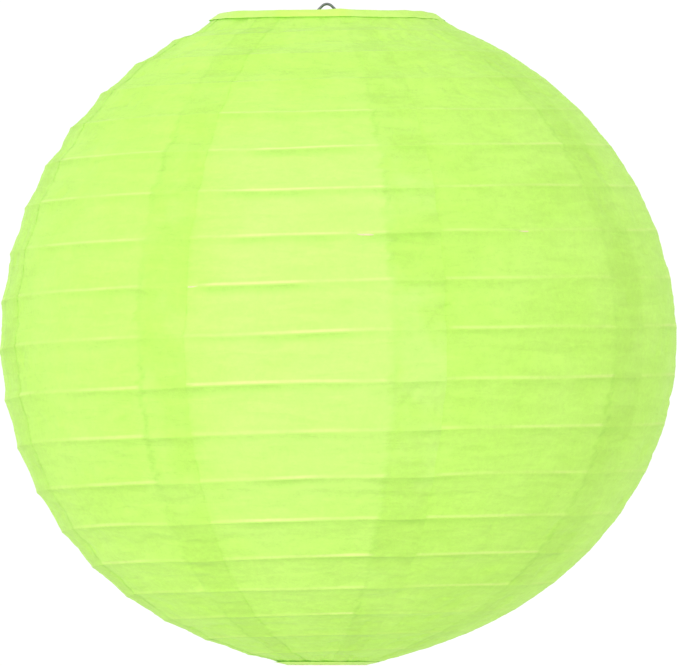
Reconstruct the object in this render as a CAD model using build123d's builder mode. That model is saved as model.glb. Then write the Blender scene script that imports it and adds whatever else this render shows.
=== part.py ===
"""Round paper lantern: lapped paper gores over one spiral rib, two wire rim hoops, and a
wire expander that hangs from its own loop and holds the shade open.

Millimetres, +Z up. The origin is where a hook bears, under the top of the hanging loop. The
front is -Y, and the expander's wire lies in the XZ plane.
"""
import os
from math import cos, degrees, pi, radians, sin, sqrt, tan

from build123d import *

os.makedirs("parts", exist_ok=True)

# Globe
globe_radius = 150.0
lower_depth = 141.5  # the lower half is a little flatter than a hemisphere
crown_angle = 67.2  # latitude where the round crown meets the rim collar
cap_angle = 65.0  # latitude where the side runs out into the bottom cap
top_mouth_radius = 47.5
top_collar_rise = 7.0  # the collar stands this far above the crown's edge
bottom_mouth_radius = 18.0
bottom_cap_drop = 14.6  # the cap's mouth lies this far below the side's edge

# Paper
gore_count = 8
paper_thickness = 0.4
ply_gap = 0.15  # glue line between plies, and under and over them
lap_width = 24.0
first_seam_angle = -76.2  # the seam nearest the front, measured from +X towards +Y

# Rib
rib_diameter = 1.0
rib_turns = 18
rib_start_gap = 7.0  # from the bottom mouth's edge, along the paper

# Rims
hoop_wire = 1.6
binding_thickness = 0.4
top_binding_width = 6.0
bottom_binding_width = 6.0

# Between pieces that slide past each other
running_gap = 0.3

# Expander
expander_wire = 1.2
leg_spread = 16.0  # between the two upright legs
loop_rise = 4.4  # the loop's top stands this far above the top binding
loop_bend = 3.0  # radius of the loop's top
loop_leg_angle = 45.0  # the loop's legs run down and out this far below level
arm_dip = 8.0  # the arms sag this far below the rim before they reach the loop
arm_spacing = 3.4  # between the arm and the wire that comes back from the rim
seat_height = 3.0  # the straight part of the wire that bears on the top rim
seat_bend = 1.2
shoulder_run = 8.0  # the wire comes back this far outside the leg, then turns down into it
shoulder_drop = 9.0
foot_height = 5.5  # the straight part of the wire that bears on the bottom rim
foot_drop = 9.0  # the leg bends out over this height to reach the foot
foot_bend = 2.5
gentle_bend = 8.0  # radius of the other bends

# Sizes that follow. Heights are from the centre of the widest circle.
crown_edge = (globe_radius * cos(radians(crown_angle)), globe_radius * sin(radians(crown_angle)))
top_rim_z = crown_edge[1] + top_collar_rise
bottom_rim_z = -lower_depth * sin(radians(cap_angle)) - bottom_cap_drop
under_paper = 2 * paper_thickness + 2 * ply_gap  # from the outermost ply to what the paper covers
lap_angle = degrees(lap_width / globe_radius)
seam_step = 360 / gore_count
top_strip_top = top_rim_z + ply_gap + binding_thickness
loop_top = top_strip_top + loop_rise - expander_wire / 2
globe_centre = (0, 0, expander_wire / 2 - loop_top)
upright = Plane(globe_centre, x_dir=(1, 0, 0), z_dir=(0, -1, 0))


def meridian(inset):
    """Half outline of the globe, bottom mouth to top mouth, drawn this far inside the outer ply."""
    side = EllipticalCenterArc(
        (0, 0), globe_radius - inset, lower_depth - inset, -cap_angle, arc_size=cap_angle
    )
    cap_end = (bottom_mouth_radius, bottom_rim_z + inset)
    cap = TangentArc(side @ 0, cap_end, tangent=(side % 0) * -1)
    crown = CenterArc((0, 0), globe_radius - inset, 0, crown_angle)
    collar = Line(crown @ 1, (top_mouth_radius - inset, top_rim_z))
    return cap, side, crown, collar


def paper_band(outer_inset, inner_inset):
    """Face between two meridians, for the open sketch."""
    with BuildLine() as outline:
        outer = meridian(outer_inset)
        inner = meridian(inner_inset)
        Line(outer[3] @ 1, inner[3] @ 1)
        Line(outer[0] @ 1, inner[0] @ 1)
    make_face(outline.edges())


def save(piece, name):
    piece.part.label = name
    export_step(piece.part, f"parts/{name}.step")


def meridian_plane(angle):
    return upright.rotated((0, 0, angle))


# Paper gores. Each lies under its neighbour on one side and laps over the other, and a
# narrow riser joins its lower ply to the lap.
riser_angle = lap_angle / 8
outer_ply = (0, paper_thickness)
inner_ply = (paper_thickness + ply_gap, 2 * paper_thickness + ply_gap)
edge_gap_angle = degrees(ply_gap / bottom_mouth_radius)
for index in range(gore_count):
    seam_angle = first_seam_angle + index * seam_step
    start = seam_angle - lap_angle / 2
    end = start + seam_step - edge_gap_angle
    with BuildPart() as gore:
        with BuildSketch(meridian_plane(start)):
            paper_band(*inner_ply)
        revolve(axis=Axis.Z, revolution_arc=seam_step - edge_gap_angle)
        with BuildSketch(meridian_plane(end - riser_angle)):
            paper_band(outer_ply[0], inner_ply[1])
        revolve(axis=Axis.Z, revolution_arc=riser_angle)
        with BuildSketch(meridian_plane(end)):
            paper_band(*outer_ply)
        revolve(axis=Axis.Z, revolution_arc=lap_angle)
    save(gore, f"paper_gore_{index + 1}")


# Rib. One strip of split bamboo winds from the bottom mouth up to the collar as a
# right-handed spiral. Each half turn is half a ring, tilted just enough to climb from one
# side of the globe to the other, so that it runs on smoothly into the next half turn.
rib_inset = under_paper + rib_diameter / 2
with BuildLine() as rib_track:
    cap, side, crown, collar = meridian(rib_inset)
climb = Wire([cap, side, crown])
climbs_up = climb.position_at(0).Y < climb.position_at(1).Y
half_turns = 2 * rib_turns
rib_stations = []
for step in range(half_turns + 1):
    along = (rib_start_gap + (climb.length - rib_start_gap) * step / half_turns) / climb.length
    point = climb.position_at(along if climbs_up else 1 - along)
    rib_stations.append(Vector(point.X * (-1) ** step, point.Y))
with BuildPart() as bamboo_rib:
    for here, there in zip(rib_stations, rib_stations[1:]):
        middle = upright.from_local_coords((here + there) / 2)
        across = upright.from_local_coords(there) - upright.from_local_coords(here)
        ring_axis = Vector(0, 1, 0).cross(across)
        if ring_axis.Z < 0:
            ring_axis = ring_axis * -1
        with BuildSketch(upright):
            with Locations((here.X, here.Y)):
                Circle(rib_diameter / 2)
        revolve(axis=Axis(middle, ring_axis), revolution_arc=180)
save(bamboo_rib, "bamboo_rib")

# Rim hoops. The top one lies in the fold between the collar and its binding, and the bottom
# one on the paper's edge round the bottom mouth.
def rim_ring(radius, height):
    """Hoop wire with its centre at this radius and height, for the open part."""
    with BuildSketch(upright) as section:
        with Locations((radius, height)):
            Circle(hoop_wire / 2)
    revolve(section.sketch, axis=Axis.Z)


collar_slope = (crown_edge[0] - top_mouth_radius) / top_collar_rise
top_hoop_reach = hoop_wire / 2 + ply_gap  # from the hoop's centre to what it lies against
top_hoop_z = top_rim_z - top_hoop_reach
paper_at_top_hoop = top_mouth_radius - under_paper + collar_slope * top_hoop_reach
top_hoop_radius = paper_at_top_hoop - top_hoop_reach * sqrt(1 + collar_slope**2)
with BuildPart() as top_rim_hoop:
    rim_ring(top_hoop_radius, top_hoop_z)
save(top_rim_hoop, "top_rim_hoop")

bottom_hoop_reach = hoop_wire / 2 + running_gap
bottom_hoop_radius = bottom_mouth_radius + bottom_hoop_reach
bottom_hoop_z = bottom_rim_z + under_paper + bottom_hoop_reach
with BuildPart() as bottom_rim_hoop:
    rim_ring(bottom_hoop_radius, bottom_hoop_z)
save(bottom_rim_hoop, "bottom_rim_hoop")

# The top binding comes up outside the collar, over the rim and down inside the hoop.
top_bore = top_hoop_radius - top_hoop_reach - binding_thickness
top_strip_outer = top_mouth_radius + ply_gap + binding_thickness
with BuildPart() as top_rim_binding:
    with BuildSketch(upright):
        paper_band(-ply_gap - binding_thickness, -ply_gap)
        with Locations((0, top_rim_z)):
            Rectangle(4 * globe_radius, 2 * top_binding_width, mode=Mode.INTERSECT)
        with Locations((top_bore, top_rim_z + ply_gap)):
            Rectangle(top_strip_outer - top_bore, binding_thickness, align=(Align.MIN, Align.MIN))
        with Locations((top_strip_outer, top_rim_z)):
            Rectangle(binding_thickness, ply_gap + binding_thickness, align=(Align.MAX, Align.MIN))
        with Locations((top_bore, top_strip_top)):
            Rectangle(binding_thickness, top_binding_width, align=(Align.MIN, Align.MAX))
    revolve(axis=Axis.Z)
save(top_rim_binding, "top_rim_binding")

# The bottom binding covers the paper's edge below and stands up inside the mouth.
bottom_bore = bottom_mouth_radius - running_gap - binding_thickness
bottom_strip_z = bottom_rim_z - running_gap - binding_thickness
with BuildPart() as bottom_rim_binding:
    with BuildSketch(upright):
        paper_band(-running_gap - binding_thickness, -running_gap)
        with Locations((bottom_mouth_radius, bottom_rim_z)):
            Rectangle(2 * bottom_binding_width, 2 * bottom_binding_width, mode=Mode.INTERSECT)
        with Locations((bottom_bore, bottom_strip_z)):
            Rectangle(
                bottom_mouth_radius - bottom_bore, binding_thickness, align=(Align.MIN, Align.MIN)
            )
        with Locations((bottom_bore, bottom_strip_z)):
            Rectangle(binding_thickness, bottom_binding_width, align=(Align.MIN, Align.MIN))
    revolve(axis=Axis.Z)
save(bottom_rim_binding, "bottom_rim_binding")

# Expander. One wire, bent flat: two upright legs, a foot that bears in the bottom mouth, a
# seat that bears in the top mouth on each side, and two arms that rise to the hanging loop.
wire_reach = expander_wire / 2 + running_gap
seat_x = top_bore - wire_reach
foot_x = bottom_bore - wire_reach
leg_x = leg_spread / 2
seat_top = top_rim_z + ply_gap
arm_z = top_rim_z - arm_dip
return_z = arm_z - arm_spacing
loop_corner_z = loop_top + loop_bend * (1 / cos(radians(loop_leg_angle)) - 1)
arm_x = (loop_corner_z - arm_z) / tan(radians(loop_leg_angle))
foot_top = bottom_rim_z + foot_height
bends = [  # from the loop's corner down the right side, with the radius of each
    ((arm_x, arm_z), gentle_bend),
    ((seat_x, seat_top), seat_bend),
    ((seat_x, seat_top - seat_height), seat_bend),
    ((leg_x + shoulder_run, return_z), gentle_bend),
    ((leg_x, return_z - shoulder_drop), gentle_bend),
    ((leg_x, foot_top + foot_drop), gentle_bend),
    ((foot_x, foot_top), foot_bend),
]
right_side = [point for point, radius in bends] + [(foot_x, bottom_rim_z)]
left_side = [(-x, z) for x, z in reversed(right_side)]
side_radii = [radius for point, radius in bends]
wire_radii = side_radii[::-1] + [loop_bend] + side_radii
with BuildPart() as wire_expander:
    with BuildLine(upright) as wire_path:
        FilletPolyline(*left_side, (0, loop_corner_z), *right_side, radius=wire_radii)
    with BuildSketch(Plane(wire_path.line @ 0, z_dir=wire_path.line % 0)):
        Circle(expander_wire / 2)
    sweep()
save(wire_expander, "wire_expander")

wire_length = sum(edge.length for edge in wire_path.edges())
wire_section = pi * (expander_wire / 2) ** 2
print(f"expander wire {wire_length:.0f} mm long, {wire_length * wire_section:.0f} mm3")
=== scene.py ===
import math

import bpy
import numpy as np
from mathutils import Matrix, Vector


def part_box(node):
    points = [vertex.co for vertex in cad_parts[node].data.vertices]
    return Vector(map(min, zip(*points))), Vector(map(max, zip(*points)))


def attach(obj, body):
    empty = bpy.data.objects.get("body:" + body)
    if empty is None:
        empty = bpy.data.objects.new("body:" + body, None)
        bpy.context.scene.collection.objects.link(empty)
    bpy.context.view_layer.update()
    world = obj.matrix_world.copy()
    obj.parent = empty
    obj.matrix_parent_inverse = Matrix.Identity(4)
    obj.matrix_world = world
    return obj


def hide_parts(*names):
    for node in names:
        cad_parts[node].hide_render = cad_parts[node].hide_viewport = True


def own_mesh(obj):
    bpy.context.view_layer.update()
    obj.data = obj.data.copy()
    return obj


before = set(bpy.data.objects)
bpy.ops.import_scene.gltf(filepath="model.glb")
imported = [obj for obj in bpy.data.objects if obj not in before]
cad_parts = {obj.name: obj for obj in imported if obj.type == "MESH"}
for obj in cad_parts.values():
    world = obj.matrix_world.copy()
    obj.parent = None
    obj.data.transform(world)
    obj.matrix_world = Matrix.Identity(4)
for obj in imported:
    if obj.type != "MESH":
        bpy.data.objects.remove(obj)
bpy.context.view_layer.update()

mm = 0.001
turn = 2 * math.pi
maths, rangeNode, noiseNode = "ShaderNodeMath", "ShaderNodeMapRange", "ShaderNodeTexNoise"
eased = {"interpolation_type": "SMOOTHSTEP"}


def linear(hexColour):
    # sRGB hex to the linear colour that the sockets want
    parts = [int(hexColour[i:i + 2], 16) / 255 for i in (0, 2, 4)]
    return [c / 12.92 if c <= 0.04045 else ((c + 0.055) / 1.055) ** 2.4 for c in parts] + [1.0]


def addNode(tree, kind, feeds=None, **settings):
    # one node with its settings, its values and its links; the first output is the usual result
    node = tree.nodes.new(kind)
    for name, value in settings.items():
        setattr(node, name, value)
    # feeds is a list of inputs in order, or a dictionary; a node stands for its first output
    for key, feed in feeds.items() if isinstance(feeds, dict) else enumerate(feeds or []):
        if isinstance(feed, bpy.types.Node):
            feed = feed.outputs[0]
        if isinstance(feed, bpy.types.NodeSocket):
            tree.links.new(feed, node.inputs[key])
        else:
            node.inputs[key].default_value = feed
    return node


def newTree(name, sockets):
    # a Geometry Nodes tree with named inputs; returns it with its input node
    tree = bpy.data.node_groups.new(name, "GeometryNodeTree")
    for label, kind in sockets.items():
        tree.interface.new_socket(name=label, in_out="INPUT", socket_type="NodeSocket" + kind)
    return tree, tree.nodes.new("NodeGroupInput")


def closeTree(tree, geometry, material):
    # every tree ends the same way: real geometry, smooth, with its material
    tree.interface.new_socket(name="Geometry", in_out="OUTPUT", socket_type="NodeSocketGeometry")
    real = addNode(tree, "GeometryNodeRealizeInstances", {0: geometry})
    smooth = addNode(tree, "GeometryNodeSetShadeSmooth", {0: real})
    painted = addNode(tree, "GeometryNodeSetMaterial", {0: smooth, "Material": material})
    addNode(tree, "NodeGroupOutput", {0: painted})


def grow(name, tree, values):
    # runs a tree on an empty mesh and keeps the result as a plain mesh at the origin
    seedObject = bpy.data.objects.new(name + "Seed", bpy.data.meshes.new(name + "Seed"))
    bpy.context.scene.collection.objects.link(seedObject)
    modifier = seedObject.modifiers.new("grow", "NODES")
    modifier.node_group = tree
    for item in tree.interface.items_tree:
        if item.item_type == "SOCKET" and item.in_out == "INPUT" and item.name in values:
            modifier[item.identifier] = values[item.name]
    bpy.context.view_layer.update()
    graph = bpy.context.evaluated_depsgraph_get()
    mesh = bpy.data.meshes.new_from_object(seedObject.evaluated_get(graph), depsgraph=graph)
    mesh.name = name
    seedObject.modifiers.remove(modifier)
    bpy.data.objects.remove(seedObject)
    piece = bpy.data.objects.new(name, mesh)
    bpy.context.scene.collection.objects.link(piece)
    return piece


# ---- where things are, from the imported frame

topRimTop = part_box("top_rim_binding")[1][2]
gores = sorted(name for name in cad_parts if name.startswith("paper_gore_"))

globe = {
    "radius": 150 * mm,
    "lowerDepth": 141.5 * mm,  # the underside is a little flatter than the top
    "crownAngle": math.radians(67.2),  # where the round crown meets the rim collar
    "capAngle": math.radians(65),  # where the side runs into the bottom cap
    "topMouth": 47.5 * mm,
    "bottomMouth": 18 * mm,
    "collarRise": 7 * mm,
    "capDrop": 14.6 * mm,
    "bulge": 5 * mm,  # the widest part leans this far to +X of the two mouths
    "rimCover": 0.55 * mm,  # paper edge to the top of the binding
}
topRimZ = topRimTop - globe["rimCover"]
equatorZ = topRimZ - globe["radius"] * math.sin(globe["crownAngle"]) - globe["collarRise"]


def globeOutline(stepsPerArc=120):
    # (radius, height) points from the bottom mouth to the top mouth
    sideEnd = -globe["capAngle"]
    sideR = globe["radius"] * math.cos(sideEnd)
    sideZ = globe["lowerDepth"] * math.sin(sideEnd)
    slope = Vector((-globe["radius"] * math.sin(sideEnd), globe["lowerDepth"] * math.cos(sideEnd)))
    mouth = Vector((globe["bottomMouth"], sideZ - globe["capDrop"]))
    start = Vector((sideR, sideZ))
    reach = mouth - start
    inward = Vector((-slope.y, slope.x)).normalized()  # square to the side, into the globe
    arcRadius = reach.length_squared / (2 * reach.dot(inward))
    centre = start + inward * arcRadius
    fromAngle = math.atan2(mouth.y - centre.y, mouth.x - centre.x)
    toAngle = math.atan2(start.y - centre.y, start.x - centre.x)
    points = []
    for i in range(stepsPerArc):
        angle = fromAngle + (toAngle - fromAngle) * i / stepsPerArc
        points.append((centre.x + arcRadius * math.cos(angle), centre.y + arcRadius * math.sin(angle)))
    for i in range(stepsPerArc):
        angle = sideEnd * (1 - i / stepsPerArc)
        points.append((globe["radius"] * math.cos(angle), globe["lowerDepth"] * math.sin(angle)))
    for i in range(stepsPerArc + 1):
        angle = globe["crownAngle"] * i / stepsPerArc
        points.append((globe["radius"] * math.cos(angle), globe["radius"] * math.sin(angle)))
    points.append((globe["topMouth"], points[-1][1] + globe["collarRise"]))
    return points


def outlineObject(name, points, baseZ=0.0):
    # a plain curve in the XZ plane that a tree can follow
    curve = bpy.data.curves.new(name, "CURVE")
    curve.dimensions = "3D"
    spline = curve.splines.new("POLY")
    spline.points.add(len(points) - 1)
    for point, (r, z) in zip(spline.points, points):
        point.co = (r, 0, z + baseZ, 1)
    made = bpy.data.objects.new(name, curve)
    bpy.context.scene.collection.objects.link(made)
    return made


outlinePoints = globeOutline()
outline = outlineObject("globeOutline", outlinePoints, equatorZ)
outlineLength = sum(math.dist(a, b) for a, b in zip(outlinePoints, outlinePoints[1:]))
print(f"outline {outlineLength / mm:.1f} mm from mouth to mouth")

# ---- the spiral: every gore's pleats and the rib follow it

spiral = {
    "firstGap": 7 * mm,  # mouth edge to the first turn, at +X
    "pitch": 21.06 * mm,  # turn to turn, along the paper
    "turns": 18,
    "drift": 1.75 * mm,  # the turns were set by hand, so they wander from even spacing
    "driftFrom": 200 * mm,
    "driftOver": 280 * mm,
    "slip": -1.6 * mm,  # and the lowest turns have slipped a little towards the mouth
    "slipGrowth": 0.006,
    "wander": 1.1 * mm,
    "wanderScale": 1.9,
    "wanderPerTurn": 0.37,  # how much the wander changes from one turn to the next
}


def spiralPlace(tree, phase, angle, curveObject):
    # phase in whole turns and angle from +X give a place on the globe; returns the length along
    # the outline, the same kept between the mouths, the point's radius and height and the slope
    turned = addNode(tree, maths, [angle, turn], operation="DIVIDE")
    along = addNode(tree, maths, [
        addNode(tree, maths, [phase, turned], operation="ADD"), spiral["pitch"], spiral["firstGap"],
    ], operation="MULTIPLY_ADD")
    swing = addNode(tree, maths, [
        addNode(tree, maths, [
            addNode(tree, maths, [along, spiral["driftFrom"]], operation="SUBTRACT"),
            turn / spiral["driftOver"],
        ], operation="MULTIPLY"),
    ], operation="SINE")
    wound = addNode(tree, maths, [phase, turned], operation="ADD")
    across = addNode(tree, "ShaderNodeCombineXYZ", {
        0: addNode(tree, maths, [angle], operation="COSINE"),
        1: addNode(tree, maths, [angle], operation="SINE"),
        2: addNode(tree, maths, [wound, spiral["wanderPerTurn"]], operation="MULTIPLY"),
    })
    noise = addNode(tree, noiseNode, {"Vector": across, "Scale": spiral["wanderScale"], "Detail": 1.0})
    wander = addNode(tree, maths, [
        addNode(tree, maths, [noise, 0.5], operation="SUBTRACT"), 2 * spiral["wander"],
    ], operation="MULTIPLY")
    slipped = addNode(tree, maths, [along, 1 + spiral["slipGrowth"], spiral["slip"]], operation="MULTIPLY_ADD")
    along = addNode(tree, maths, [
        addNode(tree, maths, [swing, spiral["drift"], slipped], operation="MULTIPLY_ADD"), wander,
    ], operation="ADD")
    kept = addNode(tree, "ShaderNodeClamp", {0: along, 1: 0.0, 2: outlineLength - 0.01 * mm}).outputs[0]
    followed = addNode(tree, "GeometryNodeObjectInfo", {"Object": curveObject})
    sample = addNode(tree, "GeometryNodeSampleCurve", {
        "Curves": followed.outputs["Geometry"], "Length": kept,
    }, mode="LENGTH", use_all_curves=True)
    place = addNode(tree, "ShaderNodeSeparateXYZ", {0: sample.outputs["Position"]})
    slope = addNode(tree, "ShaderNodeSeparateXYZ", {0: sample.outputs["Tangent"]})
    return along, kept, place.outputs[0], place.outputs[2], slope


def spunPoint(tree, radius, height, slope, angle, lift):
    # turns an outline point about the axis, lifted square to the paper; the widest part leans
    r = addNode(tree, maths, [slope.outputs[2], lift, radius], operation="MULTIPLY_ADD")
    z = addNode(tree, maths, [
        height, addNode(tree, maths, [slope.outputs[0], lift], operation="MULTIPLY"),
    ], operation="SUBTRACT")
    share = addNode(tree, maths, [
        addNode(tree, maths, [radius, globe["radius"]], operation="DIVIDE"), 2.0,
    ], operation="POWER")
    lean = addNode(tree, maths, [share, globe["bulge"]], operation="MULTIPLY")
    x = addNode(tree, maths, [
        r, addNode(tree, maths, [angle], operation="COSINE"), lean,
    ], operation="MULTIPLY_ADD")
    y = addNode(tree, maths, [r, addNode(tree, maths, [angle], operation="SINE")], operation="MULTIPLY")
    return addNode(tree, "ShaderNodeCombineXYZ", {0: x, 1: y, 2: z}).outputs[0]


# ---- paper gores

gore = {
    "count": len(gores),
    "firstSeam": math.radians(-76.2),
    "lap": 24 * mm,  # at the widest part; the laps narrow towards the mouths
    "lapTaper": 0.7,
    "columns": 120,
    "rowsPerBand": 22,
    "plyGap": 0.14 * mm,
    "ridge": 0.22 * mm,  # the rib pushes the paper out by this much
    "ridgeWidth": 1.1 * mm,
    "valley": 0.95 * mm,  # the old fold half way between two turns of the rib
    "flatEnds": 9 * mm,  # pleats fade out towards the rims
    "wave": 0.5 * mm,  # slack in the paper between ribs
    "edgeWander": 1.6 * mm,
    "crease": 0.75 * mm,  # sharp little creases, left from folding and handling
    "rowCrowding": 0.85,
    "foldSoftness": 0.012,
    "valleyLeast": 0.45,
    "valleySpread": 1.1,
    "frontDepth": 0.55,
    "sideDepth": 0.75,
    "leftDepth": 0.45,
    "creaseRound": 2.6,
    "creaseAlong": 22.0,
    "creaseSharp": 9.0,
    "tear": 0.09,
    "edgeSoft": 0.02,
    "curlFrom": 0.45,
    "curlGain": 3.0,
    "curlLeast": 0.6,
    # fades along the paper: from, to, share before and share after
    "flatterLow": (40 * mm, 170 * mm, 0.5, 1.0),
    "ribEnds": (outlineLength - 16 * mm, outlineLength - 12 * mm, 1.0, 0.0),
    "showHigh": (290 * mm, 340 * mm, 1.0, 0.3),
    "showLow": (30 * mm, 90 * mm, 0.35, 1.0),
    "paintedLightHigh": (280 * mm, 345 * mm, 1.0, 0.1),
    "paintedLightLow": (60 * mm, 190 * mm, 0.1, 1.0),
    "paintedLightEdge": (-0.02, 0.3, 0.25, 1.0),  # these two are radians from a seam
    "edgeShadow": (0.003, 0.016, 1.0, 0.0),
    "wash": [0.1, 0.15, 0.3, 0.2, 0.1, 0.25, 0.3, 1.0],  # painted light: a paler tint, full on the front gore and faint on the others
    "ribShow": [0.5, 0.35, 0.4, 0.5, 0.4, 0.45, 0.5, 1.0],  # how strongly the rib lines and their painted highlight and shade show on each gore
}

goreTree, goreIn = newTree(
    "pleatedGore",
    {
        "Outline": "Object", "First Seam": "Float", "Last Seam": "Float", "Lap": "Float", "Columns": "Int",
        "Rows": "Int", "Bands": "Float", "Ridge": "Float", "Valley": "Float", "Ply Gap": "Float",
        "Crease": "Float", "Rib Show": "Float", "Painted Light": "Float", "Paper": "Material",
    },
)
grid = addNode(goreTree, "GeometryNodeMeshGrid", {
    "Size X": 1.0, "Size Y": 1.0, "Vertices X": goreIn.outputs["Columns"],
    "Vertices Y": goreIn.outputs["Rows"],
})
at = addNode(goreTree, "ShaderNodeSeparateXYZ", {0: addNode(goreTree, "GeometryNodeInputPosition").outputs[0]})

seamLow, seamHigh = goreIn.outputs["First Seam"], goreIn.outputs["Last Seam"]
u = addNode(goreTree, maths, [at.outputs[0], 0.5], operation="ADD")
v = addNode(goreTree, maths, [at.outputs[1], 0.5], operation="ADD")
halfLap = addNode(goreTree, maths, [goreIn.outputs["Lap"], 0.5 / globe["radius"]], operation="MULTIPLY")
flatAngle = addNode(goreTree, rangeNode, {
    0: u, 1: 0.0, 2: 1.0, 3: addNode(goreTree, maths, [seamLow, halfLap], operation="SUBTRACT"),
    4: addNode(goreTree, maths, [seamHigh, halfLap], operation="ADD"),
}, clamp=False)
flatTurn = addNode(goreTree, maths, [flatAngle, turn], operation="DIVIDE")
lastTurn = addNode(goreTree, maths, [
    addNode(goreTree, maths, [seamHigh, halfLap], operation="ADD"), turn,
], operation="DIVIDE")
rawPhase = addNode(goreTree, maths, [
    addNode(goreTree, maths, [v, goreIn.outputs["Bands"]], operation="MULTIPLY"),
    addNode(goreTree, maths, [addNode(goreTree, maths, [lastTurn], operation="CEIL"), 1.0], operation="ADD"),
], operation="SUBTRACT")
# rows crowd at the rib and at the fold, where the paper bends most
phase = addNode(goreTree, maths, [
    rawPhase,
    addNode(goreTree, maths, [
        addNode(goreTree, maths, [
            addNode(goreTree, maths, [rawPhase, 2 * turn], operation="MULTIPLY"),
        ], operation="SINE"),
        gore["rowCrowding"] / (2 * turn),
    ], operation="MULTIPLY"),
], operation="SUBTRACT")
rawAlong, along, radius, height, slope = spiralPlace(goreTree, phase, flatAngle, goreIn.outputs["Outline"])
share = addNode(goreTree, maths, [
    addNode(goreTree, maths, [radius, globe["radius"]], operation="DIVIDE"), 0.05,
], operation="MAXIMUM")
lapHalf = addNode(goreTree, maths, [
    halfLap, addNode(goreTree, maths, [share, gore["lapTaper"] - 1.0], operation="POWER"),
], operation="MULTIPLY")
band = addNode(goreTree, maths, [phase], operation="ROUND")
edgeShift = addNode(goreTree, maths, [
    addNode(goreTree, maths, [
        addNode(goreTree, maths, [
            addNode(goreTree, noiseNode, {
                "Vector": addNode(goreTree, "ShaderNodeCombineXYZ", {
                    0: addNode(goreTree, maths, [phase, 0.9], operation="MULTIPLY"), 1: seamLow, 2: 0.0,
                }).outputs[0],
                "Scale": 1.3, "Detail": 2.0,
            }),
            0.5,
        ], operation="SUBTRACT"),
        2 * gore["edgeWander"],
    ], operation="MULTIPLY"),
    addNode(goreTree, maths, [radius, 20 * mm], operation="MAXIMUM"),
], operation="DIVIDE")
lowEdge = addNode(goreTree, maths, [seamLow, lapHalf], operation="SUBTRACT")
highEdge = addNode(goreTree, maths, [
    addNode(goreTree, maths, [seamHigh, lapHalf], operation="ADD"), edgeShift,
], operation="ADD")
angle = addNode(goreTree, rangeNode, {0: u, 1: 0.0, 2: 1.0, 3: lowEdge, 4: highEdge}, clamp=False)

nearRib = addNode(goreTree, maths, [
    addNode(goreTree, maths, [phase, band], operation="SUBTRACT"), spiral["pitch"],
], operation="MULTIPLY")
ridgeShape = addNode(goreTree, maths, [
    addNode(goreTree, maths, [
        addNode(goreTree, maths, [
            addNode(goreTree, maths, [
                addNode(goreTree, maths, [nearRib], operation="ABSOLUTE"), gore["ridgeWidth"],
            ], operation="DIVIDE"),
            2.0,
        ], operation="POWER"),
        -1.0,
    ], operation="MULTIPLY"),
], operation="EXPONENT")
# 0 at the rib, 1 at the fold
fold = addNode(goreTree, maths, [
    addNode(goreTree, maths, [nearRib], operation="ABSOLUTE"), 2 / spiral["pitch"],
], operation="MULTIPLY")
softFold = addNode(goreTree, maths, [
    addNode(goreTree, maths, [
        addNode(goreTree, maths, [1.0, gore["foldSoftness"]], operation="ADD"),
    ], operation="SQRT"),
    addNode(goreTree, maths, [
        addNode(goreTree, maths, [
            addNode(goreTree, maths, [
                addNode(goreTree, maths, [1.0, fold], operation="SUBTRACT"), 2.0,
            ], operation="POWER"),
            gore["foldSoftness"],
        ], operation="ADD"),
    ], operation="SQRT"),
], operation="SUBTRACT")
foldPlace = addNode(goreTree, "ShaderNodeCombineXYZ", {
    0: addNode(goreTree, maths, [angle], operation="COSINE"),
    1: addNode(goreTree, maths, [angle], operation="SINE"),
    2: addNode(goreTree, maths, [
        addNode(goreTree, maths, [phase, flatTurn], operation="ADD"), 0.8,
    ], operation="MULTIPLY"),
}).outputs[0]
foldDepth = addNode(goreTree, maths, [
    goreIn.outputs["Valley"],
    addNode(goreTree, maths, [
        gore["valleyLeast"],
        addNode(goreTree, maths, [
            addNode(goreTree, noiseNode, {"Vector": foldPlace, "Scale": 2.2, "Detail": 2.0}),
            gore["valleySpread"],
        ], operation="MULTIPLY"),
    ], operation="ADD"),
], operation="MULTIPLY")
# the paper is pulled flatter towards the bottom cap
foldDepth = addNode(goreTree, maths, [
    foldDepth, addNode(goreTree, rangeNode, [along, *gore["flatterLow"]], **eased),
], operation="MULTIPLY")
# the folds are deepest at the front and back, and stay deeper on the -X side than on the other
sideDepth = addNode(goreTree, maths, [
    addNode(goreTree, maths, [
        addNode(goreTree, maths, [addNode(goreTree, maths, [angle], operation="SINE"), 2.0], operation="POWER"),
        gore["frontDepth"], gore["sideDepth"],
    ], operation="MULTIPLY_ADD"),
    addNode(goreTree, maths, [
        addNode(goreTree, maths, [angle], operation="COSINE"), gore["leftDepth"],
    ], operation="MULTIPLY"),
], operation="SUBTRACT")
ends = addNode(goreTree, maths, [
    addNode(goreTree, rangeNode, [along, 0.0, gore["flatEnds"], 0.0, 1.0], **eased),
    addNode(goreTree, rangeNode, [along, outlineLength - gore["flatEnds"], outlineLength, 1.0, 0.0], **eased),
], operation="MULTIPLY")
ribEnd = addNode(goreTree, rangeNode, [along, *gore["ribEnds"]], **eased)
slack = addNode(goreTree, maths, [
    addNode(goreTree, maths, [
        addNode(goreTree, noiseNode, {"Vector": foldPlace, "Scale": 7.0, "Detail": 3.0}), 0.5,
    ], operation="SUBTRACT"),
    2 * gore["wave"],
], operation="MULTIPLY")
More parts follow.
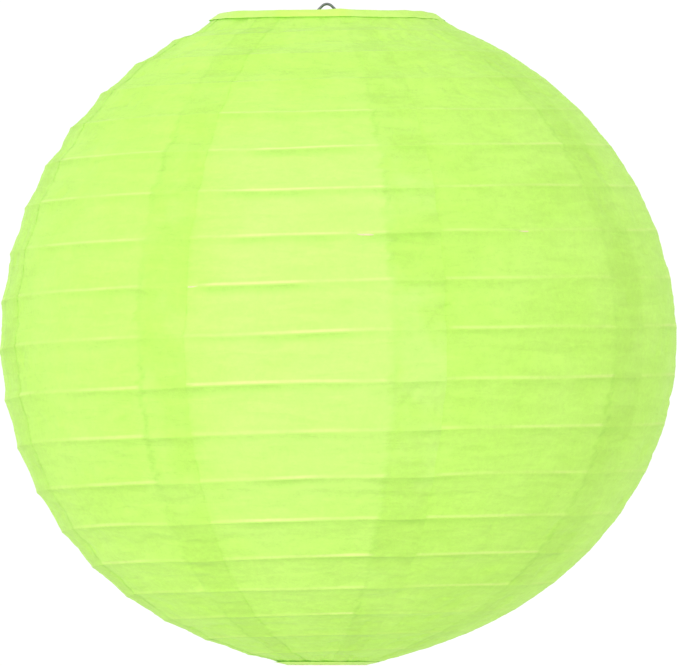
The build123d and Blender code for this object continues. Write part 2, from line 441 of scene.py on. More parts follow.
# creases run mostly round the globe, so their noise is stretched that way
creasePlace = addNode(goreTree, "ShaderNodeCombineXYZ", {
    0: addNode(goreTree, maths, [
        addNode(goreTree, maths, [angle], operation="COSINE"), gore["creaseRound"],
    ], operation="MULTIPLY"),
    1: addNode(goreTree, maths, [
        addNode(goreTree, maths, [angle], operation="SINE"), gore["creaseRound"],
    ], operation="MULTIPLY"),
    2: addNode(goreTree, maths, [along, gore["creaseAlong"]], operation="MULTIPLY"),
}).outputs[0]
creaseNoise = addNode(goreTree, noiseNode, {"Vector": creasePlace, "Scale": 1.7, "Detail": 2.5})
creaseLine = addNode(goreTree, maths, [
    1.0,
    addNode(goreTree, maths, [
        addNode(goreTree, maths, [
            addNode(goreTree, maths, [
                addNode(goreTree, maths, [creaseNoise, 0.5], operation="SUBTRACT"),
            ], operation="ABSOLUTE"),
            gore["creaseSharp"],
        ], operation="MULTIPLY"),
        1.0,
    ], operation="MINIMUM"),
], operation="SUBTRACT")
creaseWhere = addNode(goreTree, rangeNode, [
    addNode(goreTree, noiseNode, {"Vector": foldPlace, "Scale": 3.1, "Detail": 1.0}), 0.42, 0.62, 0.0, 1.0,
], **eased)
crease = addNode(goreTree, maths, [
    addNode(goreTree, maths, [creaseLine, creaseWhere], operation="MULTIPLY"), goreIn.outputs["Crease"],
], operation="MULTIPLY")
slack = addNode(goreTree, maths, [
    addNode(goreTree, maths, [slack, crease], operation="SUBTRACT"),
    addNode(goreTree, maths, [
        addNode(goreTree, maths, [fold, 3.0], operation="MULTIPLY"), 1.0,
    ], operation="MINIMUM"),
], operation="MULTIPLY")
pleat = addNode(goreTree, maths, [
    addNode(goreTree, maths, [
        addNode(goreTree, maths, [
            ridgeShape, addNode(goreTree, maths, [goreIn.outputs["Ridge"], sideDepth], operation="MULTIPLY"),
        ], operation="MULTIPLY"),
        ribEnd,
    ], operation="MULTIPLY"),
    addNode(goreTree, maths, [
        addNode(goreTree, maths, [softFold, foldDepth], operation="MULTIPLY"), sideDepth,
    ], operation="MULTIPLY"),
], operation="SUBTRACT")
pleat = addNode(goreTree, maths, [
    addNode(goreTree, maths, [pleat, slack], operation="ADD"), ends,
], operation="MULTIPLY")
intoLap = addNode(goreTree, maths, [
    angle, addNode(goreTree, maths, [seamHigh, lapHalf], operation="SUBTRACT"),
], operation="SUBTRACT")
# the pasted edges are torn, not cut, so the deeper colour starts unevenly
tear = addNode(goreTree, maths, [
    addNode(goreTree, maths, [
        addNode(goreTree, noiseNode, {"Vector": foldPlace, "Scale": 11.0, "Detail": 4.0}), 0.5,
    ], operation="SUBTRACT"),
    gore["tear"],
], operation="MULTIPLY")
onLap = addNode(goreTree, rangeNode, [
    addNode(goreTree, maths, [intoLap, tear], operation="ADD"), -gore["edgeSoft"], gore["edgeSoft"], 0.0, 1.0,
], **eased)
underLap = addNode(goreTree, rangeNode, [
    addNode(goreTree, maths, [
        addNode(goreTree, maths, [
            angle, addNode(goreTree, maths, [seamLow, lapHalf], operation="ADD"),
        ], operation="SUBTRACT"),
        tear,
    ], operation="ADD"),
    -gore["edgeSoft"], gore["edgeSoft"], 1.0, 0.0,
], **eased)
curl = addNode(goreTree, maths, [
    addNode(goreTree, maths, [
        addNode(goreTree, maths, [
            addNode(goreTree, noiseNode, {"Vector": foldPlace, "Scale": 5.3, "Detail": 2.0}), gore["curlFrom"],
        ], operation="SUBTRACT"),
        0.0,
    ], operation="MAXIMUM"),
    gore["curlGain"], gore["curlLeast"],
], operation="MULTIPLY_ADD")
lift = addNode(goreTree, maths, [
    pleat,
    addNode(goreTree, maths, [
        addNode(goreTree, maths, [onLap, curl], operation="MULTIPLY"), goreIn.outputs["Ply Gap"],
    ], operation="MULTIPLY"),
], operation="ADD")
# near both mouths the rib lines and their painted highlight and shade fade out
shownHere = addNode(goreTree, maths, [
    addNode(goreTree, rangeNode, [along, *gore["showHigh"]], **eased),
    addNode(goreTree, rangeNode, [along, *gore["showLow"]], **eased),
], operation="MULTIPLY")
# the painted light fades out towards both mouths and near the first seam
paintedLightHere = addNode(goreTree, maths, [
    addNode(goreTree, rangeNode, [
        addNode(goreTree, maths, [angle, seamLow], operation="SUBTRACT"), *gore["paintedLightEdge"],
    ], **eased),
    addNode(goreTree, maths, [
        addNode(goreTree, rangeNode, [along, *gore["paintedLightHigh"]], **eased),
        addNode(goreTree, rangeNode, [along, *gore["paintedLightLow"]], **eased),
    ], operation="MULTIPLY"),
], operation="MULTIPLY")
# rows that would lie wholly past a mouth are cut off while the grid is still flat
past = addNode(goreTree, "FunctionNodeCompare", {
    "A": rawAlong, "B": along, "Epsilon": 0.001 * mm,
}, data_type="FLOAT", operation="NOT_EQUAL")
trimmed = addNode(goreTree, "GeometryNodeDeleteGeometry", {0: grid, 1: past}, domain="FACE", mode="ALL")
# a thin shadow along the torn edge of the upper ply
lapEdge = addNode(goreTree, rangeNode, [
    addNode(goreTree, maths, [addNode(goreTree, maths, [intoLap, tear], operation="ADD")], operation="ABSOLUTE"),
    *gore["edgeShadow"],
], **eased)
stored = trimmed  # stored before the move, because the fields read the flat grid
storedFields = {
    "fromRib": nearRib, "onLap": addNode(goreTree, maths, [onLap, underLap], operation="MAXIMUM"),
    "alongPaper": along, "roundPaper": angle, "lapEdge": lapEdge,
    "ribShow": addNode(goreTree, maths, [goreIn.outputs["Rib Show"], shownHere], operation="MULTIPLY"),
    "wash": addNode(goreTree, maths, [goreIn.outputs["Painted Light"], paintedLightHere], operation="MULTIPLY"),
}
for label, field in storedFields.items():
    stored = addNode(goreTree, "GeometryNodeStoreNamedAttribute", {
        0: stored, "Name": label, "Value": field,
    }, data_type="FLOAT", domain="POINT").outputs[0]
moved = addNode(goreTree, "GeometryNodeSetPosition", {
    0: stored, "Position": spunPoint(goreTree, radius, height, slope, angle, lift),
})
closeTree(goreTree, moved, goreIn.outputs["Paper"])


# ---- paper: dyed tissue, thin and unglazed, so light soaks through it and it has no shine

paper = {
    "tint": "cffa76",
    # painted light on the front gore
    "paintedLightTint": "e0ff96",
    "glow": "c6f75a",  # light that has come through the paper is greener
    # two plies: their own deeper colour and painted shade
    "twoPlyTintAndShade": "c8f56a",
    # the rib's pale colour through the paper, and a painted highlight on its ridge
    "ribPaleAndHighlight": "f0ff9c",
    # painted shade, below the ribs and along the torn lap edges
    "paintedShadeTint": "9fd84e",
    "through": 0.22,
    "glowShare": 0.6,
    "mottle": 1400.0,  # long fibres, about 0.7 mm apart
    "cloud": 30.0,  # paste and dye clouds, 20 to 40 mm across
    "cloudTint": "c9f76c",
    "fine": 420.0,  # felted lumps, 2 to 3 mm apart
    "streakRound": 6.0,
    "streakAlong": 230.0,
    "patchy": 22.0,  # the rib lines, their painted highlight and shade, and the painted edge shadow come and go in patches 40 mm or so across
    "paintedLightDepth": 0.45,
    "ribShadeDepth": 0.38,
    # painted shadow along the torn lap edges
    "edgeShadowDepth": 0.28,
    "patchTint": "dcff5e",
    "patchDepth": 0.3,
    "patchMiddle": -6.5 * mm,
    "patchEdge": (13 * mm, 20 * mm, 1.0, 0.0),
    "patchFront": (-20 * mm, -5 * mm, 1.0, 0.0),
}


def makePaper(name, tint, plies=1, patch=False):
    material = bpy.data.materials.new(name)
    material.use_nodes = True
    tree = material.node_tree
    tree.nodes.clear()
    here = addNode(tree, "ShaderNodeTexCoord").outputs["Object"]

    cloud = addNode(tree, noiseNode, {"Vector": here, "Scale": paper["cloud"], "Detail": 4.0, "Roughness": 0.6})
    fibre = addNode(tree, noiseNode, {
        "Vector": here, "Scale": paper["mottle"], "Detail": 3.0, "Roughness": 0.7, "Distortion": 0.6,
    })
    fine = addNode(tree, noiseNode, {"Vector": here, "Scale": paper["fine"], "Detail": 3.0, "Roughness": 0.6})
    # soft streaks round the globe, 2 to 4 mm apart, where the paper was brushed with paste
    unrolled = addNode(tree, "ShaderNodeCombineXYZ", {
        0: addNode(tree, maths, {
            0: addNode(tree, "ShaderNodeAttribute", attribute_name="roundPaper").outputs["Fac"],
            1: paper["streakRound"],
        }, operation="MULTIPLY"),
        1: addNode(tree, maths, {
            0: addNode(tree, "ShaderNodeAttribute", attribute_name="alongPaper").outputs["Fac"],
            1: paper["streakAlong"],
        }, operation="MULTIPLY"),
        2: 0.0,
    })
    streak = addNode(tree, noiseNode, {
        "Vector": unrolled, "Scale": 1.0, "Detail": 3.0, "Roughness": 0.55, "Distortion": 0.8,
    })
    fromRib = addNode(tree, "ShaderNodeAttribute", attribute_name="fromRib").outputs["Fac"]
    lap = addNode(tree, "ShaderNodeAttribute", attribute_name="onLap").outputs["Fac"]
    ribShow = addNode(tree, "ShaderNodeAttribute", attribute_name="ribShow").outputs["Fac"]
    colour = addNode(tree, "ShaderNodeMix", {
        0: addNode(tree, rangeNode, [cloud, 0.3, 0.7, 0.0, 1.0], **eased), 6: linear(tint),
        7: linear(paper["cloudTint"]),
    }, data_type="RGBA").outputs[2]
    # painted light: a paler tint over the middle of the front gore
    colour = addNode(tree, "ShaderNodeMix", {
        0: addNode(tree, maths, [
            addNode(tree, "ShaderNodeAttribute", attribute_name="wash").outputs["Fac"], paper["paintedLightDepth"],
        ], operation="MULTIPLY"),
        6: colour, 7: linear(paper["paintedLightTint"]),
    }, data_type="RGBA").outputs[2]
    # two plies with paste between them: deeper colour, in blotches; partly the real second ply and paste, partly
    # painted shade for the light that comes through two plies less
    blotch = addNode(tree, rangeNode, [cloud, 0.35, 0.65, 0.15, 0.85], **eased)
    colour = addNode(tree, "ShaderNodeMix", {
        0: addNode(tree, maths, [lap, blotch], operation="MULTIPLY"), 6: colour, 7: linear(paper["twoPlyTintAndShade"]),
    }, data_type="RGBA").outputs[2]
    single = addNode(tree, maths, {0: 1.0, 1: lap}, operation="SUBTRACT")
    # the rib shows through one ply as a pale line, with a painted highlight on the lit top of its ridge, and
    # painted shade just below it
    ribLineAndHighlight = addNode(tree, maths, [
        addNode(tree, rangeNode, [fromRib, 0.1 * mm, 0.6 * mm, 0.0, 1.0], **eased),
        addNode(tree, rangeNode, [fromRib, 1.1 * mm, 1.9 * mm, 1.0, 0.0], **eased),
    ], operation="MULTIPLY")
    patchy = addNode(tree, rangeNode, [
        addNode(tree, noiseNode, {"Vector": here, "Scale": paper["patchy"], "Detail": 2.0}), 0.4, 0.62, 0.25,
        1.0,
    ], **eased)
    colour = addNode(tree, "ShaderNodeMix", {
        0: addNode(tree, maths, [
            addNode(tree, maths, [ribLineAndHighlight, single], operation="MULTIPLY"),
            addNode(tree, maths, [
                patchy, ribShow,
            ], operation="MULTIPLY"),
        ], operation="MULTIPLY"),
        6: colour, 7: linear(paper["ribPaleAndHighlight"]),
    }, data_type="RGBA").outputs[2]
    # painted shade under each rib, reaching over the upper part of the band below
    shadeBelowRib = addNode(tree, maths, [
        addNode(tree, rangeNode, [fromRib, -5.0 * mm, -0.6 * mm, 0.0, 1.0], **eased),
        addNode(tree, rangeNode, [fromRib, -0.5 * mm, 0.1 * mm, 1.0, 0.0], **eased),
    ], operation="MULTIPLY")
    colour = addNode(tree, "ShaderNodeMix", {
        0: addNode(tree, maths, [
            addNode(tree, maths, [shadeBelowRib, patchy], operation="MULTIPLY"),
            addNode(tree, maths, [
                ribShow,
                paper["ribShadeDepth"],
            ], operation="MULTIPLY"),
        ], operation="MULTIPLY"),
        6: colour, 7: linear(paper["paintedShadeTint"]),
    }, data_type="RGBA").outputs[2]
    # painted shadow along the torn edge of the upper ply
    paintedEdgeShadow = addNode(tree, maths, [
        addNode(tree, maths, [
            addNode(tree, "ShaderNodeAttribute", attribute_name="lapEdge").outputs["Fac"], patchy,
        ], operation="MULTIPLY"),
        paper["edgeShadowDepth"],
    ], operation="MULTIPLY")
    colour = addNode(tree, "ShaderNodeMix", {
        0: paintedEdgeShadow, 6: colour, 7: linear(paper["paintedShadeTint"]),
    }, data_type="RGBA").outputs[2]
    if patch:
        # one length of the strip was cut from a yellower sheet
        place = addNode(tree, "ShaderNodeSeparateXYZ", {0: here})
        middle = addNode(tree, maths, {
            0: addNode(tree, maths, [place.outputs[0], -paper["patchMiddle"]], operation="ADD"),
        }, operation="ABSOLUTE")
        yellow = addNode(tree, maths, [
            addNode(tree, rangeNode, [middle, *paper["patchEdge"]], **eased),
            addNode(tree, rangeNode, [place.outputs[1], *paper["patchFront"]], **eased),
        ], operation="MULTIPLY")
        colour = addNode(tree, "ShaderNodeMix", {
            0: addNode(tree, maths, [yellow, paper["patchDepth"]], operation="MULTIPLY"), 6: colour,
            7: linear(paper["patchTint"]),
        }, data_type="RGBA").outputs[2]
    brushed = addNode(tree, rangeNode, {0: streak, 1: 0.3, 2: 0.7, 3: 0.952, 4: 1.038})
    grey = addNode(tree, rangeNode, {0: fine, 1: 0.3, 2: 0.7, 3: 0.965, 4: 1.03})
    grain = addNode(tree, rangeNode, {0: fibre, 1: 0.3, 2: 0.7, 3: 0.97, 4: 1.025})
    colour = addNode(tree, "ShaderNodeVectorMath", {
        0: colour,
        "Scale": addNode(tree, maths, [
            addNode(tree, maths, [grey, grain], operation="MULTIPLY"), brushed,
        ], operation="MULTIPLY"),
    }, operation="SCALE")
    bump = addNode(tree, "ShaderNodeBump", {"Strength": 0.35, "Distance": 0.08 * mm, "Height": fibre})
    crumple = addNode(tree, "ShaderNodeBump", {
        "Strength": 0.5, "Distance": 0.5 * mm, "Height": fine, "Normal": bump,
    })
    wrinkled = addNode(tree, "ShaderNodeBump", {
        "Strength": 0.6, "Distance": 0.75 * mm, "Height": streak, "Normal": crumple,
    })
    face = addNode(tree, "ShaderNodeBsdfPrincipled", {
        "Base Color": colour, "Roughness": 0.86, "IOR": 1.45, "Specular IOR Level": 0.5, "Sheen Weight": 0.12,
        "Sheen Roughness": 0.4, "Normal": wrinkled,
    })
    soaked = addNode(tree, "ShaderNodeMix", {
        0: paper["glowShare"], 6: colour, 7: linear(paper["glow"]),
    }, data_type="RGBA").outputs[2]
    glow = addNode(tree, "ShaderNodeBsdfTranslucent", {0: soaked, 1: wrinkled})
    both = addNode(tree, "ShaderNodeMixShader", {0: paper["through"] / plies, 1: face, 2: glow})
    addNode(tree, "ShaderNodeOutputMaterial", {0: both})
    return material


tissue = makePaper("dyedTissuePaper", paper["tint"])

bands = math.ceil((outlineLength + 2 * spiral["drift"]) / spiral["pitch"]) + 3
goreAngle = turn / gore["count"]
gorePieces = []
for i, nodeName in enumerate(gores):
    firstSeam = gore["firstSeam"] + i * goreAngle
    made = grow(f"tissueGore{i + 1}", goreTree, {
        "Outline": outline, "First Seam": firstSeam, "Last Seam": firstSeam + goreAngle, "Lap": gore["lap"],
        "Columns": gore["columns"], "Rows": bands * gore["rowsPerBand"] + 1, "Bands": float(bands),
        "Ridge": gore["ridge"], "Valley": gore["valley"], "Ply Gap": gore["plyGap"],
        "Crease": gore["crease"], "Rib Show": gore["ribShow"][i], "Painted Light": gore["wash"][i], "Paper": tissue,
    })
    gorePieces.append(made)
# creases pressed in by handling: degrees round from +X and mm along the paper, from end to end
handling = {
    "width": 1.3 * mm,
    "depth": 1.1 * mm,
    "lines": [
        (272, 258, 279, 253), (286, 221, 290, 226), (284, 214, 288, 219), (262, 250, 270, 252),
        (243, 232, 250, 238), (226, 170, 231, 177), (222, 160, 228, 157), (230, 183, 236, 186),
        (254, 196, 262, 199), (300, 262, 306, 258), (281, 180, 284, 190), (236, 262, 241, 257),
        (40, 230, 47, 236), (95, 180, 101, 186), (150, 250, 157, 246), (120, 290, 127, 294),
    ],
}


def pressCreases(piece, lines, width, depth):
    mesh = piece.data
    count = len(mesh.vertices)
    roundAngle, alongPaper = np.empty(count), np.empty(count)
    mesh.attributes["roundPaper"].data.foreach_get("value", roundAngle)
    mesh.attributes["alongPaper"].data.foreach_get("value", alongPaper)
    places = np.empty(count * 3)
    mesh.vertices.foreach_get("co", places)
    places = places.reshape(-1, 3)
    # pressed towards the middle of the globe, so crowded rows don't fold over
    outward = places - np.array([0, 0, equatorZ])
    outward /= np.linalg.norm(outward, axis=1)[:, None]
    reach = np.hypot(places[:, 0], places[:, 1])
    sink = np.zeros(count)
    for fromAngle, fromAlong, toAngle, toAlong in lines:
        # flat coordinates centred on the crease's start
        offAngle = (roundAngle - math.radians(fromAngle) + math.pi) % turn - math.pi
        across = offAngle * reach
        up = alongPaper - fromAlong * mm
        run = np.array([math.radians(toAngle - fromAngle) * globe["radius"], (toAlong - fromAlong) * mm])
        share = np.clip((across * run[0] + up * run[1]) / run.dot(run), 0, 1)
        apart = np.hypot(across - share * run[0], up - share * run[1])
        taper = 0.35 + 0.65 * np.sin(share * math.pi)
        sink = np.maximum(sink, np.exp(-((apart / width) ** 2)) * taper)
    places -= outward * (sink * depth)[:, None]
    mesh.vertices.foreach_set("co", places.ravel())
    mesh.update()


for piece in gorePieces:
    pressCreases(piece, handling["lines"], handling["width"], handling["depth"])
print(f"gores: {sum(len(g.data.polygons) for g in gorePieces)} faces")


# ---- the rib: one split bamboo strip, wound from the bottom mouth to the crown

rib = {
    "thickness": 1.0 * mm,
    "inside": 0.75 * mm,  # its middle lies this far inside the paper
    "stepsPerTurn": 120,
    "sides": 8,
}

ribTree, ribIn = newTree(
    "woundRib",
    {
        "Outline": "Object", "Turns": "Float", "Steps": "Int", "Thickness": "Float", "Inside": "Float",
        "Sides": "Int", "Bamboo": "Material",
    },
)
strand = addNode(ribTree, "GeometryNodeMeshLine", {
    "Count": ribIn.outputs["Steps"], "Start Location": (0, 0, 0), "Offset": (1, 0, 0),
}, mode="OFFSET")
strandCurve = addNode(ribTree, "GeometryNodeMeshToCurve", {0: strand})
step = addNode(ribTree, maths, {
    0: addNode(ribTree, "GeometryNodeInputIndex").outputs[0],
    1: addNode(ribTree, maths, {0: ribIn.outputs["Steps"], 1: 1.0}, operation="SUBTRACT"),
}, operation="DIVIDE")
turnsDone = addNode(ribTree, maths, {0: step, 1: ribIn.outputs["Turns"]}, operation="MULTIPLY")
wholeTurns = addNode(ribTree, maths, {0: turnsDone}, operation="FLOOR")
ribAngle = addNode(ribTree, maths, {
    0: addNode(ribTree, maths, {0: turnsDone}, operation="FRACT"), 1: turn,
}, operation="MULTIPLY")
_, _, ribRadius, ribHeight, ribSlope = spiralPlace(ribTree, wholeTurns, ribAngle, ribIn.outputs["Outline"])
inward = addNode(ribTree, maths, [ribIn.outputs["Inside"], -1.0], operation="MULTIPLY")
wound = addNode(ribTree, "GeometryNodeSetPosition", {
    0: strandCurve, "Position": spunPoint(ribTree, ribRadius, ribHeight, ribSlope, ribAngle, inward),
})
section = addNode(ribTree, "GeometryNodeCurvePrimitiveCircle", {
    "Resolution": ribIn.outputs["Sides"],
    "Radius": addNode(ribTree, maths, [ribIn.outputs["Thickness"], 0.5], operation="MULTIPLY"),
})
strip = addNode(ribTree, "GeometryNodeCurveToMesh", {
    "Curve": wound, "Profile Curve": section, "Fill Caps": True,
})
closeTree(ribTree, strip, ribIn.outputs["Bamboo"])


def plainMaterial(
    name, hexColour, roughness, metallic=0.0, scale=900.0, spread=0.12, bumpDepth=0.05, stretch=(1, 1, 1),
):
    # colour and roughness vary with one stretched noise, and so does the surface
    material = bpy.data.materials.new(name)
    material.use_nodes = True
    tree = material.node_tree
    tree.nodes.clear()
    here = addNode(tree, "ShaderNodeTexCoord").outputs["Object"]
    placed = addNode(tree, "ShaderNodeMapping", {"Vector": here, "Scale": stretch})
    grain = addNode(tree, noiseNode, {"Vector": placed, "Scale": scale, "Detail": 4.0, "Roughness": 0.65})
    shade = addNode(tree, rangeNode, {0: grain, 1: 0.3, 2: 0.7, 3: 1.0 - spread, 4: 1.0 + spread})
    colour = addNode(tree, "ShaderNodeVectorMath", {
        0: linear(hexColour)[:3], "Scale": shade,
    }, operation="SCALE")
    rough = addNode(tree, rangeNode, {0: grain, 1: 0.3, 2: 0.7, 3: roughness * 0.85, 4: roughness * 1.15})
    bump = addNode(tree, "ShaderNodeBump", {"Strength": 0.4, "Distance": bumpDepth * mm, "Height": grain})
    face = addNode(tree, "ShaderNodeBsdfPrincipled", {
        "Base Color": colour, "Roughness": rough, "Metallic": metallic, "Normal": bump,
    })
    addNode(tree, "ShaderNodeOutputMaterial", {0: face})
    return material


# split bamboo, shaved and left raw: straight pale grain with darker streaks, and a dull sheen
bamboo = plainMaterial("splitBamboo", "e2d9a6", 0.55, scale=260.0, spread=0.16, stretch=(1, 1, 5))
# galvanised steel wire, drawn and cut: grey zinc skin with a dull gleam and faint patches
galvanised = plainMaterial("galvanisedWire", "7d8080", 0.42, metallic=0.9, scale=650.0, spread=0.22)
# bare steel wire of the rim hoops, a little brighter and smoother
drawnWire = plainMaterial("drawnSteelWire", "9b9d9c", 0.35, metallic=0.95, scale=800.0, spread=0.15)

ribPiece = grow("woundRib", ribTree, {
    "Outline": outline, "Turns": float(spiral["turns"]), "Steps": spiral["turns"] * rib["stepsPerTurn"] + 1,
    "Thickness": rib["thickness"], "Inside": rib["inside"], "Sides": rib["sides"], "Bamboo": bamboo,
})
print(f"rib: {len(ribPiece.data.polygons)} faces")


# ---- rim bindings: a strip of the same tissue pasted over each hoop, with a torn, wavy edge

binding = {
    "steps": 420,
    "acrossSteps": 26,
    "width": 6 * mm,
    "edgeWave": 0.7 * mm,
    "puff": 0.35 * mm,  # how unevenly it is pressed down
    "keep": 0.5,
    # puckers in the top strip: degrees round from +X, half width in mm and rise in mm; none dips,
    # because the hoop lies just under the paper
    "puckers": [
        (332, 4.5, 0.4), (317, 5.0, 0.4), (277, 4.5, 0.45),
        (214, 8.0, 0.35), (140, 6.0, 0.3), (62, 6.0, 0.4),
    ],
    "puckerFrom": 0.6 * mm,  # a pucker is full down to here, below the rim
    "puckerOver": 4 * mm,  # and has faded out this much lower
    "skin": 0.22 * mm,  # how far the strip lies outside the gores
    "topBore": 45.15 * mm,
    "topPuff": 0.4,
    "bottomPuff": 0.3,
    "bottomSteps": 200,
}

bindingTree, bindingIn = newTree(
    "foldedBinding",
    {
        "Section": "Object", "Steps": "Int", "Across": "Int", "Edge Wave": "Float", "Puff": "Float",
        "Paper": "Material",
    },
)
strip = addNode(bindingTree, "GeometryNodeMeshGrid", {
    "Size X": 1.0, "Size Y": 1.0, "Vertices X": bindingIn.outputs["Steps"],
    "Vertices Y": bindingIn.outputs["Across"],
})
stripAt = addNode(bindingTree, "ShaderNodeSeparateXYZ", {
    0: addNode(bindingTree, "GeometryNodeInputPosition").outputs[0],
})

roundAngle = addNode(bindingTree, maths, [
    addNode(bindingTree, maths, [stripAt.outputs[0], 0.5], operation="ADD"), turn,
], operation="MULTIPLY")
over = addNode(bindingTree, maths, [stripAt.outputs[1], 0.5], operation="ADD")
ringPlace = addNode(bindingTree, "ShaderNodeCombineXYZ", {
    0: addNode(bindingTree, maths, [roundAngle], operation="COSINE"),
    1: addNode(bindingTree, maths, [roundAngle], operation="SINE"), 2: 0.0,
}).outputs[0]
puffPlace = addNode(bindingTree, "ShaderNodeCombineXYZ", {
    0: addNode(bindingTree, maths, [roundAngle], operation="COSINE"),
    1: addNode(bindingTree, maths, [roundAngle], operation="SINE"),
    2: addNode(bindingTree, maths, [over, 0.8], operation="MULTIPLY"),
}).outputs[0]
edgeNoise = addNode(bindingTree, noiseNode, {"Vector": ringPlace, "Scale": 5.0, "Detail": 3.0})
edgeMove = addNode(bindingTree, maths, [
    addNode(bindingTree, maths, [edgeNoise, 0.5], operation="SUBTRACT"),
    addNode(bindingTree, maths, [bindingIn.outputs["Edge Wave"], 2.0], operation="MULTIPLY"),
], operation="MULTIPLY")
outerShare = addNode(bindingTree, rangeNode, {0: over, 1: 0.45, 2: 0.0, 3: 0.0, 4: 1.0})
followedSection = addNode(bindingTree, "GeometryNodeObjectInfo", {"Object": bindingIn.outputs["Section"]})
sectionLength = addNode(bindingTree, "GeometryNodeCurveLength", {0: followedSection.outputs["Geometry"]})
lengthAt = addNode(bindingTree, maths, [
    addNode(bindingTree, maths, [
        over, sectionLength, addNode(bindingTree, maths, [outerShare, edgeMove], operation="MULTIPLY"),
    ], operation="MULTIPLY_ADD"),
    0.0,
], operation="MAXIMUM")
sectionAt = addNode(bindingTree, "GeometryNodeSampleCurve", {
    "Curves": followedSection.outputs["Geometry"], "Length": lengthAt,
}, mode="LENGTH", use_all_curves=True)
sectionPlace = addNode(bindingTree, "ShaderNodeSeparateXYZ", {0: sectionAt.outputs["Position"]})
sectionSlope = addNode(bindingTree, "ShaderNodeSeparateXYZ", {0: sectionAt.outputs["Tangent"]})
puffNoise = addNode(bindingTree, noiseNode, {
    "Vector": puffPlace, "Scale": 9.0, "Detail": 3.0, "Roughness": 0.6,
}).outputs[0]
puffed = addNode(bindingTree, maths, [
    addNode(bindingTree, maths, [
        addNode(bindingTree, maths, [puffNoise, 0.35], operation="SUBTRACT"), 0.0,
    ], operation="MAXIMUM"),
    addNode(bindingTree, maths, [bindingIn.outputs["Puff"], 3.0], operation="MULTIPLY"),
], operation="MULTIPLY")
stripR = addNode(bindingTree, maths, [
    sectionSlope.outputs[2], puffed, sectionPlace.outputs[0],
], operation="MULTIPLY_ADD")
stripZ = addNode(bindingTree, maths, [
    sectionPlace.outputs[2],
    addNode(bindingTree, maths, [sectionSlope.outputs[0], puffed], operation="MULTIPLY"),
], operation="SUBTRACT")
stripPoint = addNode(bindingTree, "ShaderNodeCombineXYZ", {
    0: addNode(bindingTree, maths, [
        stripR, addNode(bindingTree, maths, [roundAngle], operation="COSINE"),
    ], operation="MULTIPLY"),
    1: addNode(bindingTree, maths, [
        stripR, addNode(bindingTree, maths, [roundAngle], operation="SINE"),
    ], operation="MULTIPLY"),
    2: stripZ,
})
stripStored = strip
stripFields = {"onLap": 0.55, "fromRib": 0.01, "roundPaper": roundAngle, "alongPaper": lengthAt}
for label, field in stripFields.items():
    stripStored = addNode(bindingTree, "GeometryNodeStoreNamedAttribute", {
        0: stripStored, "Name": label, "Value": field,
    }, data_type="FLOAT", domain="POINT").outputs[0]
folded = addNode(bindingTree, "GeometryNodeSetPosition", {0: stripStored, "Position": stripPoint})
joined = addNode(bindingTree, "GeometryNodeMergeByDistance", {0: folded, "Distance": 0.005 * mm})
closeTree(bindingTree, joined, bindingIn.outputs["Paper"])


def roundedRun(points, bend=0.5 * mm, steps=6):
    # rounds the corners of a run of (radius, height) points
    run = [Vector(points[0])]
    for before, corner, after in zip(points, points[1:], points[2:]):
        before, corner, after = Vector(before), Vector(corner), Vector(after)
        start = corner + (before - corner).normalized() * bend
        end = corner + (after - corner).normalized() * bend
        for i in range(steps + 1):
            t = i / steps
            run.append(start * (1 - t) ** 2 + corner * 2 * t * (1 - t) + end * t ** 2)
    run.append(Vector(points[-1]))
    return [(p.x, p.y) for p in run]


collarTop = Vector(outlinePoints[-1])
collarFoot = Vector(outlinePoints[-2])
down = (collarFoot - collarTop).normalized()
out = Vector((-down.y, down.x))  # square to the collar, away from the mouth
if out.x < 0:
    out = -out
skin, topBore = binding["skin"], binding["topBore"]
topRun = roundedRun([
    tuple(collarTop + down * binding["width"] * 0.98 + out * 0.06 * mm),
    tuple(collarTop + out * skin + down * 0.6 * mm),
    (collarTop.x - 1.0 * mm, collarTop.y + 0.12 * mm),
    (topBore, collarTop.y - 0.1 * mm),
    (topBore, collarTop.y - 0.1 * mm - binding["width"]),
])
topSection = outlineObject("topSection", topRun, equatorZ)
bottomEdge = Vector(outlinePoints[0])
capRun = (Vector(outlinePoints[4]) - bottomEdge).normalized()
bottomOut = Vector((capRun.y, -capRun.x))
bottomRun = roundedRun([
    (bottomEdge.x - 0.5 * mm, bottomEdge.y + binding["width"] - 0.5 * mm),
    (bottomEdge.x - 0.5 * mm, bottomEdge.y - 0.45 * mm),
    tuple(bottomEdge + bottomOut * skin),
    tuple(bottomEdge + capRun * binding["width"] * 0.95 + bottomOut * skin),
])
bottomSection = outlineObject("bottomSection", bottomRun, equatorZ)

bindingPaper = makePaper("bindingTissue", "d3fa7c", plies=2, patch=True)
topBinding = grow("topRimStrip", bindingTree, {
    "Section": topSection, "Steps": binding["steps"], "Across": binding["acrossSteps"],
    "Edge Wave": binding["edgeWave"], "Puff": binding["puff"] * binding["topPuff"], "Paper": bindingPaper,
})
bottomBinding = grow("bottomRimStrip", bindingTree, {
    "Section": bottomSection, "Steps": binding["bottomSteps"], "Across": binding["acrossSteps"],
    "Edge Wave": 0.0, "Puff": binding["puff"] * binding["bottomPuff"], "Paper": bindingPaper,
})
for corner in topBinding.data.vertices:
    x, y, z = corner.co
    reach = math.hypot(x, y)
    # strongest at the fold
    inBend = min(1.0, max(0.0, 1 - (topRimZ - z - binding["puckerFrom"]) / binding["puckerOver"]))
    for degrees, halfWidth, rise in binding["puckers"]:
        away = ((math.atan2(y, x) - math.radians(degrees) + math.pi) % turn - math.pi) * reach
        corner.co.z += rise * mm * math.exp(-((away / (halfWidth * mm)) ** 2)) * inBend
print(f"bindings: {len(topBinding.data.polygons)} and {len(bottomBinding.data.polygons)} faces")

for helper in (outline, topSection, bottomSection):
    bpy.data.objects.remove(helper)


# ---- CAD nodes that stay: the hoops and the expander wire

wires = {"top_rim_hoop": drawnWire, "bottom_rim_hoop": drawnWire, "wire_expander": galvanised}
for nodeName, material in wires.items():
    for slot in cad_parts[nodeName].material_slots:
        slot.material = material
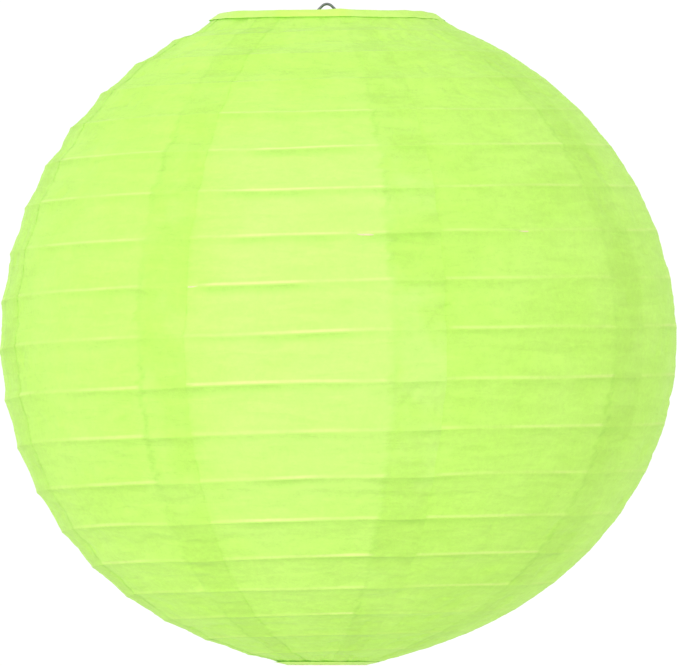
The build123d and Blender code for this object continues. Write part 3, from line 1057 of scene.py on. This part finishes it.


# ---- bodies, and the CAD nodes that the pieces stand for, hidden

for piece, nodeName in zip(gorePieces, gores):
    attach(piece, "shade_top")
    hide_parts(nodeName)
    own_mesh(piece)
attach(ribPiece, "shade_top")
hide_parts("bamboo_rib")
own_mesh(ribPiece)
for piece, nodeName, body, run in (
    (topBinding, "top_rim_binding", "shade_top", topRun),
    (bottomBinding, "bottom_rim_binding", "shade_bottom", bottomRun),
):
    # a straight strip: as wide as its folded section is long, and long enough to go round once
    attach(piece, body)
    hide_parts(nodeName)
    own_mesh(piece)


# ---- floor, light and camera

stage = {
    "floorZ": -2.2,
    "floorRadius": 3.4,
    "sky": 1.05,
    "keyPower": 15.5,
    "keySize": 1.6,
    "keyPlace": (-0.8, -2.05, equatorZ + 0.3),
}

floorMesh = bpy.data.meshes.new("floor")
ringCount = 96
ringAngles = [turn * i / ringCount for i in range(ringCount)]
corners = [
    (stage["floorRadius"] * math.cos(a), stage["floorRadius"] * math.sin(a), stage["floorZ"])
    for a in ringAngles
]
floorMesh.from_pydata(corners, [], [list(range(ringCount))])
floor = bpy.data.objects.new("floor", floorMesh)
bpy.context.scene.collection.objects.link(floor)
floorMesh.materials.append(plainMaterial("paintedFloor", "f1f1ee", 0.7, scale=6.0, spread=0.01, bumpDepth=0.01))

world = bpy.data.worlds.new("softWhite")
bpy.context.scene.world = world
world.use_nodes = True
world.node_tree.nodes["Background"].inputs[0].default_value = (1, 1, 1, 1)
world.node_tree.nodes["Background"].inputs[1].default_value = stage["sky"]

keyLight = bpy.data.lights.new("softKey", "AREA")
keyLight.energy = stage["keyPower"]
keyLight.shape = "DISK"
keyLight.size = stage["keySize"]
key = bpy.data.objects.new("softKey", keyLight)
key.location = stage["keyPlace"]
key.rotation_euler = (Vector((0, 0, equatorZ)) - key.location).to_track_quat("-Z", "Y").to_euler()
bpy.context.scene.collection.objects.link(key)

view = {
    "rise": math.radians(-1.15),  # the camera looks very slightly up
    "distance": 8.0,
    "widthSeen": 300.8 * mm,
    "aside": 5.54 * mm,
    "above": 3.8 * mm,
}
lens = bpy.data.cameras.new("front")
lens.sensor_width = 36
lens.lens = 36 * view["distance"] / view["widthSeen"]
lens.clip_end = 40
camera = bpy.data.objects.new("front", lens)
target = Vector((view["aside"], 0, equatorZ + view["above"]))
camera.location = target + view["distance"] * Vector((0, -math.cos(view["rise"]), math.sin(view["rise"])))
camera.rotation_euler = (target - camera.location).to_track_quat("-Z", "Y").to_euler()
bpy.context.scene.collection.objects.link(camera)
bpy.context.scene.camera = camera
bpy.context.scene.view_settings.view_transform = "Standard"
print("floor, light and camera set")
